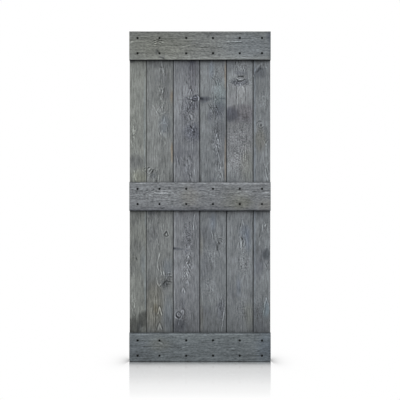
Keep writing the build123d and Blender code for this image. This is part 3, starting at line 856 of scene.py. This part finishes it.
def worn_depth(wood, plank, rings, width, thickness, arris):
    """Depths with the faces worn along their soft rings, slightly hollow and rounded at their edges."""
    share = plank.low_edge / width
    edge = np.minimum(plank.low_edge, plank.high_edge)
    wear = RELIEF * (0.5 - 0.5 * np.cos(2 * np.pi * rings)) + CUP * (1 - (2 * share - 1) ** 2)
    wear = wear + DIPS.strength + wave(wood, DIPS, plank.across, plank.along)
    wear = wear * np.clip(edge / WEAR_EDGE, 0, 1) * np.clip(plank.end / WEAR_EDGE, 0, 1)
    rounding = arris * (ARRIS_WEAR + wave(wood, ARRIS_WAVE, share.round(), plank.along))
    edge_in = np.clip(rounding - edge, 0, None)
    end_in = np.clip(1 - plank.end / END_ARRIS, 0, None) * rounding
    easing = rounding - np.sqrt(np.clip(rounding ** 2 - edge_in ** 2 - end_in ** 2, 0, None))
    inset = np.maximum(wear, easing)
    return np.where(plank.front, inset, np.where(plank.back, thickness - inset, plank.depth))


def wood_mesh(name, wood, plank, size, arris, shade, stretch, to_frame):
    """A plank's mesh, with what its wood is like kept at each vertex for the material to read."""
    width, length, thickness = size
    turned = np.where(plank.back, length - plank.along, plank.along)
    flow, rings, contrast, grit = grain_fields(wood, plank.across, turned, plank.depth)
    depth = worn_depth(wood, plank, rings, width, thickness, arris)
    # The colour kept at each vertex carries painted shade: the shade passed in, times the patches
    stain_and_painted_light = wood_stain(wood, plank.across, turned) * shade[..., None]

    mesh = bpy.data.meshes.new(name)
    mesh.from_pydata(to_frame(plank.across * MM, plank.along * MM, depth * MM), [], plank.faces)
    mesh.shade_smooth()
    grain = np.stack([flow + SEED_SHIFT * wood.seed, plank.along / stretch, depth], -1) * MM
    figure = np.stack([rings, contrast, grit], -1)
    colour = np.concatenate([stain_and_painted_light, np.ones((len(stain_and_painted_light), 1))], -1)
    mesh.attributes.new("grain", "FLOAT_VECTOR", "POINT").data.foreach_set("vector", grain.ravel())
    mesh.attributes.new("figure", "FLOAT_VECTOR", "POINT").data.foreach_set("vector", figure.ravel())
    mesh.attributes.new("stain_and_painted_light", "FLOAT_COLOR", "POINT").data.foreach_set("color", colour.ravel())
    return mesh


def wood_material():
    """Stained pine: light late-wood lines, fibres, streaks, mottle and grit over a grey colour that also
    carries painted shade and highlights.
    """
    material = bpy.data.materials.new("stained_pine")
    material.use_nodes = True
    g = Graph(material.node_tree)
    grain = g.node("ShaderNodeAttribute", attribute_name="grain").outputs["Vector"]
    figure = g.node("ShaderNodeAttribute", attribute_name="figure").outputs["Vector"]
    stain_and_painted_light = g.node("ShaderNodeAttribute", attribute_name="stain_and_painted_light").outputs["Color"]
    rings, contrast, grit = g.node("ShaderNodeSeparateXYZ", {0: figure}).outputs
    noise = {}
    for name, (across, along, detail) in PINE_NOISES.items():
        noise[name] = g.noise(grain, (across, along, across), detail)

    # Late-wood lines follow the rings and waver, more so where the wood is figured
    bend = g.about(noise["wiggle"], NOISE_MIDDLE, g.scaled(contrast, *LINE_BEND))
    wander = g.about(noise["streak"], NOISE_MIDDLE, LINE_WANDER)
    phase = g.math("FRACT", g.math("ADD", rings, g.math("ADD", wander, bend)))
    line = g.curve(phase, LATE_WOOD)
    shade = g.about(line, LATE_WOOD_MIDDLE, g.math("MULTIPLY", contrast, LATE_WOOD_STRENGTH))

    # Figured wood curls as well
    curls = g.curve(g.math("FRACT", g.math("MULTIPLY", noise["curl"], CURL_COUNT)), CURL)
    figured = g.math("MAXIMUM", g.math("SUBTRACT", contrast, FIGURED_FROM), 0.0)
    shade = g.math("ADD", shade, g.about(curls, CURL_MIDDLE, g.math("MULTIPLY", figured, CURL_STRENGTH)))

    hatch = g.scaled(contrast, *HATCH)
    strengths = {
        "fibre": FIBRES, "streak": STREAKS, "hatch": hatch, "mottle": g.math("MULTIPLY", hatch, MOTTLE),
        "cloud": CLOUDS, "sand": g.scaled(grit, *SAND),
    }
    for name, strength in strengths.items():
        shade = g.math("ADD", shade, g.about(noise[name], NOISE_MIDDLE, strength))
    shade = g.math("MAXIMUM", g.math("ADD", shade, 1.0), DARKEST_SHADE)
    colour = g.node("ShaderNodeVectorMath", {0: stain_and_painted_light, "Scale": shade}, operation="SCALE").outputs[0]

    fibre_height = g.math("MULTIPLY", noise["fibre"], FIBRE_HEIGHT)
    height = g.math("ADD", fibre_height, g.math("MULTIPLY", line, LINE_HEIGHT))
    bump_inputs = {"Strength": BUMP_STRENGTH, "Distance": BUMP_DISTANCE, "Height": height}
    bump = g.node("ShaderNodeBump", bump_inputs)
    shader = g.node(
        "ShaderNodeBsdfPrincipled",
        {
            "Base Color": colour,
            "Roughness": g.scaled(noise["fibre"], *PINE_ROUGHNESS),
            "Normal": bump.outputs[0],
            "Specular IOR Level": PINE_SHINE,
        },
    )
    g.node("ShaderNodeOutputMaterial", {"Surface": shader.outputs[0]})
    return material


def add_piece(name, mesh, material, node):
    """A finished piece that stands for one CAD node."""
    piece = bpy.data.objects.new(name, mesh)
    bpy.context.scene.collection.objects.link(piece)
    mesh.materials.append(material)
    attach(piece, BODY)
    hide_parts(node)


def board_shade(name, plank, grooved, tongued):
    """How painted shade changes a board: along its joints, under and over the rails, and darker towards its
    foot.
    """
    # Painted shade along the joints, for the dark gap between the boards
    left, reach, right = JOINT_EDGE_SHADE[name]
    shade = 1 - left * fade(plank.low_edge, reach, reach + JOINT_SHADE_FADE)
    shade = shade * (1 - right * fade(plank.high_edge, *RIGHT_JOINT_SHADE))
    # Painted shade on the sides inside the joints
    if grooved:
        shade = np.where(plank.low_side, JOINT_SIDE_SHADE, shade)
    if tongued:
        shade = np.where(plank.high_side, JOINT_SIDE_SHADE, shade)
    for rail in RAILS:
        low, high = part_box(rail)
        above = (cad_high[2] - high.z) / MM - plank.along
        below = plank.along - (cad_high[2] - low.z) / MM
        near, far = RAIL_SHADE[rail]
        lit = 1 - near * fade(below, 0, NEAR_SHADE) - far * fade(below, 0, FAR_SHADE)
        lit = lit * (1 - CONTACT_SHADE * fade(below, 0, CONTACT_REACH))
        shade = np.where((below > -RAIL_LAP) & plank.front, shade * lit, shade)
        over = LEDGE_SHADE * fade(above, 0, LEDGE_REACH) * (above > -RAIL_LAP) * plank.front
        shade = shade * (1 - over)
    # Painted shade, darker towards the foot
    return shade * (1 - FOOT_SHADE * ramp(plank.along, *FOOT_REACH))


def make_boards(material):
    """The boards, each with a groove on its left edge and a tongue on its right edge."""
    names = sorted(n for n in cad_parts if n.startswith("board_"))
    for name in names:
        low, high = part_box(name)
        wood = WOOD[name]
        grooved = name != names[0]
        tongued = name != names[-1]
        width = (high.x - low.x) / MM - TONGUE_REACH * tongued
        size = (width, (high.z - low.z) / MM, (high.y - low.y) / MM)
        profiles = (GROOVE if grooved else None, TONGUE if tongued else None)
        plank = plank_lattice(*size, BOARD_ARRIS, *profiles)
        shade = board_shade(name, plank, grooved, tongued)
        mesh = wood_mesh(
            f"{name}_wood", wood, plank, size, BOARD_ARRIS, shade, BOARD_STRETCH,
            lambda across, along, depth: np.stack([low.x + across, low.y + depth, high.z - along], -1),
        )
        add_piece(f"{name}_wood", mesh, material, name)


def screw_places(node):
    """The middles of the two screw heads of a node, top one first, and their radius."""
    low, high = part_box(node)
    radius = (high.x - low.x) / 2
    middle = (low.x + high.x) / 2
    return [(middle, high.z - radius), (middle, low.z + radius)], radius


def rail_shade(rail, plank):
    """How a rail is darkened: painted shade along its bottom and top edges and under it, a darker top side
    and dark rims round its screws.
    """
    # Painted shade along the bottom and top edges
    shade = 1 - RAIL_LOW_EDGE_SHADE * fade(plank.low_edge, *LOW_EDGE_FADE) * plank.front
    shade = shade * (1 - RAIL_HIGH_EDGE_SHADE * fade(plank.high_edge, *HIGH_EDGE_FADE) * plank.front)
    # Painted shade under the rail; its top side is darker too
    shade = np.where(plank.low_side, RAIL_UNDERSIDE_SHADE, shade)
    shade = np.where(plank.high_side, RAIL_TOP, shade)
    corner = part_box(rail)[0]
    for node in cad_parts:
        if not node.startswith(f"{rail}_screws_"):
            continue
        for x, z in screw_places(node)[0]:
            away = np.hypot(plank.along - (x - corner.x) / MM, plank.across - (z - corner.z) / MM)
            shade = shade * (1 - SCREW_RIM_DARK * fade(away, *SCREW_FADE) * plank.front)
    return shade


def make_rails(material):
    """The three rails, with their grain along the door's width."""
    for name in RAILS:
        low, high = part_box(name)
        wood = WOOD[name]
        size = ((high.z - low.z) / MM, (high.x - low.x) / MM, (high.y - low.y) / MM)
        plank = plank_lattice(*size, RAIL_ARRIS, None, None)
        mesh = wood_mesh(
            f"{name}_wood", wood, plank, size, RAIL_ARRIS, rail_shade(name, plank), RAIL_STRETCH,
            lambda across, along, depth: np.stack([low.x + along, low.y + depth, low.z + across], -1),
        )
        add_piece(f"{name}_wood", mesh, material, name)


def screw_mesh(radius, crown, bearing, tip):
    """Points and faces of a screw about the Y axis: a domed head with a cross recess, shank and point."""
    half = np.array(HEAD_GRID)
    lines = np.concatenate([half, -half[-2::-1]])
    s, t = np.meshgrid(lines, lines, indexing="ij")
    # The square grid drawn onto a disc
    x = s * np.sqrt(1 - t * t / 2)
    z = t * np.sqrt(1 - s * s / 2)
    rise = bearing - crown
    rim = HEAD_RIM * rise
    out = rim + (rise - rim) * np.clip(1 - x * x - z * z, 0, 1) ** DOME_POWER
    arm = np.maximum(abs(s), abs(t))
    recess = (np.minimum(abs(s), abs(t)) < RECESS_HALF) & (arm < RECESS_ARM)
    out = np.where(recess, out - RECESS_DEPTH * rise * (1 - RECESS_RISE * arm), out)
    head = np.stack([x * radius, bearing - out, z * radius], -1)

    count = len(lines)
    grid = np.arange(count * count).reshape(count, count)
    loop = np.concatenate([grid[:-1, 0], grid[-1, :-1], grid[:0:-1, -1], grid[0, :0:-1]])
    points = [head.reshape(-1, 3)]
    round_rim = points[0][loop] / radius
    faces = quads(grid)
    stem = [(radius, bearing), (SHANK_RADIUS, bearing), (SHANK_RADIUS, 0.0)]
    stem += [(CORE_RADIUS, 0.0), (CORE_RADIUS, tip - POINT_LENGTH), (POINT_RADIUS, tip)]
    upper = loop
    for size, depth in stem:
        lower = sum(len(p) for p in points) + np.arange(len(loop))
        points.append(round_rim * (size, 0, size) + (0, depth, 0))
        faces += np.stack([upper, lower, np.roll(lower, -1), np.roll(upper, -1)], -1).tolist()
        upper = lower
    faces.append(upper.tolist())
    return np.concatenate(points), faces


def make_screws(material):
    """The screws, two for each board at each rail, each turned as it was driven."""
    random = np.random.default_rng(TURN_SEED)
    for name in sorted(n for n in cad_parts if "_screws_" in n):
        low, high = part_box(name)
        places, radius = screw_places(name)
        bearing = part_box(name.split("_screws_")[0])[0].y
        points, faces = screw_mesh(radius, low.y, bearing, high.y)
        turned = []
        for x, z in places:
            angle = random.uniform(0, math.pi)
            c, s = math.cos(angle), math.sin(angle)
            spin = np.array([[c, 0, s], [0, 1, 0], [-s, 0, c]])
            turned.append(points @ spin + (x, 0, z))
        second = [[n + len(points) for n in face] for face in faces]
        mesh = bpy.data.meshes.new(f"{name}_driven")
        mesh.from_pydata(np.concatenate(turned), [], faces + second)
        add_piece(f"{name}_driven", mesh, material, name)


def screw_material():
    """Black coated steel, a little rubbed."""
    material = bpy.data.materials.new("black_coating")
    material.use_nodes = True
    g = Graph(material.node_tree)
    place = g.node("ShaderNodeTexCoord").outputs["Object"]
    rub = g.noise(place, (RUB_CELLS, RUB_CELLS, RUB_CELLS))
    colour = g.mix(g.step(rub, *RUB_EDGES), BLACK, RUBBED)
    shader = g.node(
        "ShaderNodeBsdfPrincipled",
        {
            "Base Color": colour,
            "Roughness": g.scaled(rub, *BLACK_ROUGHNESS),
            "Specular IOR Level": BLACK_SHINE,
        },
    )
    g.node("ShaderNodeOutputMaterial", {"Surface": shader.outputs[0]})
    return material


def make_world():
    """A white studio: a soft bright ceiling for light, plain white behind the door."""
    world = bpy.data.worlds.new("studio")
    bpy.context.scene.world = world
    world.use_nodes = True
    g = Graph(world.node_tree)
    direction = g.node("ShaderNodeTexCoord").outputs["Generated"]
    upward = g.node("ShaderNodeSeparateXYZ", {0: direction}).outputs[2]
    sky = g.curve(g.step(upward, *CEILING_SPAN), CEILING)
    ceiling = g.node("ShaderNodeBackground", {"Color": sky, "Strength": CEILING_STRENGTH})
    white = g.node("ShaderNodeBackground", {"Color": WHITE, "Strength": 1.0})
    path = g.node("ShaderNodeLightPath").outputs
    seen = g.math("MAXIMUM", path["Is Camera Ray"], path["Is Glossy Ray"])
    seen = g.math("MAXIMUM", seen, path["Is Transmission Ray"])
    both = g.node("ShaderNodeMixShader", {0: seen, 1: ceiling.outputs[0], 2: white.outputs[0]})
    g.node("ShaderNodeOutputWorld", {"Surface": both.outputs[0]})


def make_floor():
    """A pale polished floor under the door, with a painted shadow halo at its foot that also takes its real
    shadow, and white further off.
    """
    sides = (-FLOOR_HALF, FLOOR_HALF)
    mesh = bpy.data.meshes.new("floor")
    mesh.from_pydata([(x, y, cad_low[2]) for x in sides for y in sides], [], [(0, 2, 3, 1)])
    floor = bpy.data.objects.new("floor", mesh)
    bpy.context.scene.collection.objects.link(floor)
    material = bpy.data.materials.new("polished_floor")
    material.use_nodes = True
    g = Graph(material.node_tree)
    place = g.node("ShaderNodeNewGeometry").outputs["Position"]
    x, y, _ = g.node("ShaderNodeSeparateXYZ", {0: place}).outputs
    aside = g.math("MAXIMUM", g.math("SUBTRACT", g.math("ABSOLUTE", x), cad_high[0]), 0.0)
    ahead = g.math("MAXIMUM", g.math("SUBTRACT", g.math("ABSOLUTE", y), cad_high[1]), 0.0)
    squares = [g.math("MULTIPLY", way, way) for way in (aside, ahead)]
    away = g.math("SQRT", g.math("ADD", *squares))
    grey_halo = g.math("EXPONENT", g.math("MULTIPLY", away, FLOOR_HALO_FALL))
    mirror = g.curve(g.math("DIVIDE", g.math("ABSOLUTE", y), MIRROR_REACH, clamp=True), MIRROR)
    reach = g.scaled(ahead, MIRROR_SPREAD, MIRROR_SIDE)
    gloss_share = g.math("MULTIPLY", mirror, g.step(aside, reach, 0.0))
    grey = g.node("ShaderNodeBsdfDiffuse", {"Color": FLOOR_HALO_GREY})
    white = g.node("ShaderNodeEmission", {"Color": WHITE, "Strength": 1.0})
    pale = g.node("ShaderNodeMixShader", {0: grey_halo, 1: white.outputs[0], 2: grey.outputs[0]})
    gloss = g.node("ShaderNodeBsdfGlossy", {"Color": WHITE, "Roughness": FLOOR_ROUGHNESS})
    shown = g.node("ShaderNodeMixShader", {0: gloss_share, 1: pale.outputs[0], 2: gloss.outputs[0]})
    dim = g.node("ShaderNodeBsdfDiffuse", {"Color": FLOOR_DIM})
    bounced = g.node("ShaderNodeLightPath").outputs["Is Diffuse Ray"]
    both = g.node("ShaderNodeMixShader", {0: bounced, 1: shown.outputs[0], 2: dim.outputs[0]})
    g.node("ShaderNodeOutputMaterial", {"Surface": both.outputs[0]})
    mesh.materials.append(material)


def make_camera():
    """The photograph's view."""
    data = bpy.data.cameras.new("camera")
    data.sensor_width = SENSOR_MM
    data.lens = SENSOR_MM * CAMERA_DISTANCE / VIEW_SIZE
    camera = bpy.data.objects.new("camera", data)
    camera.location = (0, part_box("top_rail")[0].y - CAMERA_DISTANCE, cad_low[2] + CAMERA_HEIGHT)
    camera.rotation_euler = (math.radians(90), 0, 0)
    bpy.context.scene.collection.objects.link(camera)
    bpy.context.scene.camera = camera


bpy.context.scene.view_settings.view_transform = "Standard"
make_camera()
make_world()
make_floor()
pine = wood_material()
make_boards(pine)
make_rails(pine)
make_screws(screw_material())
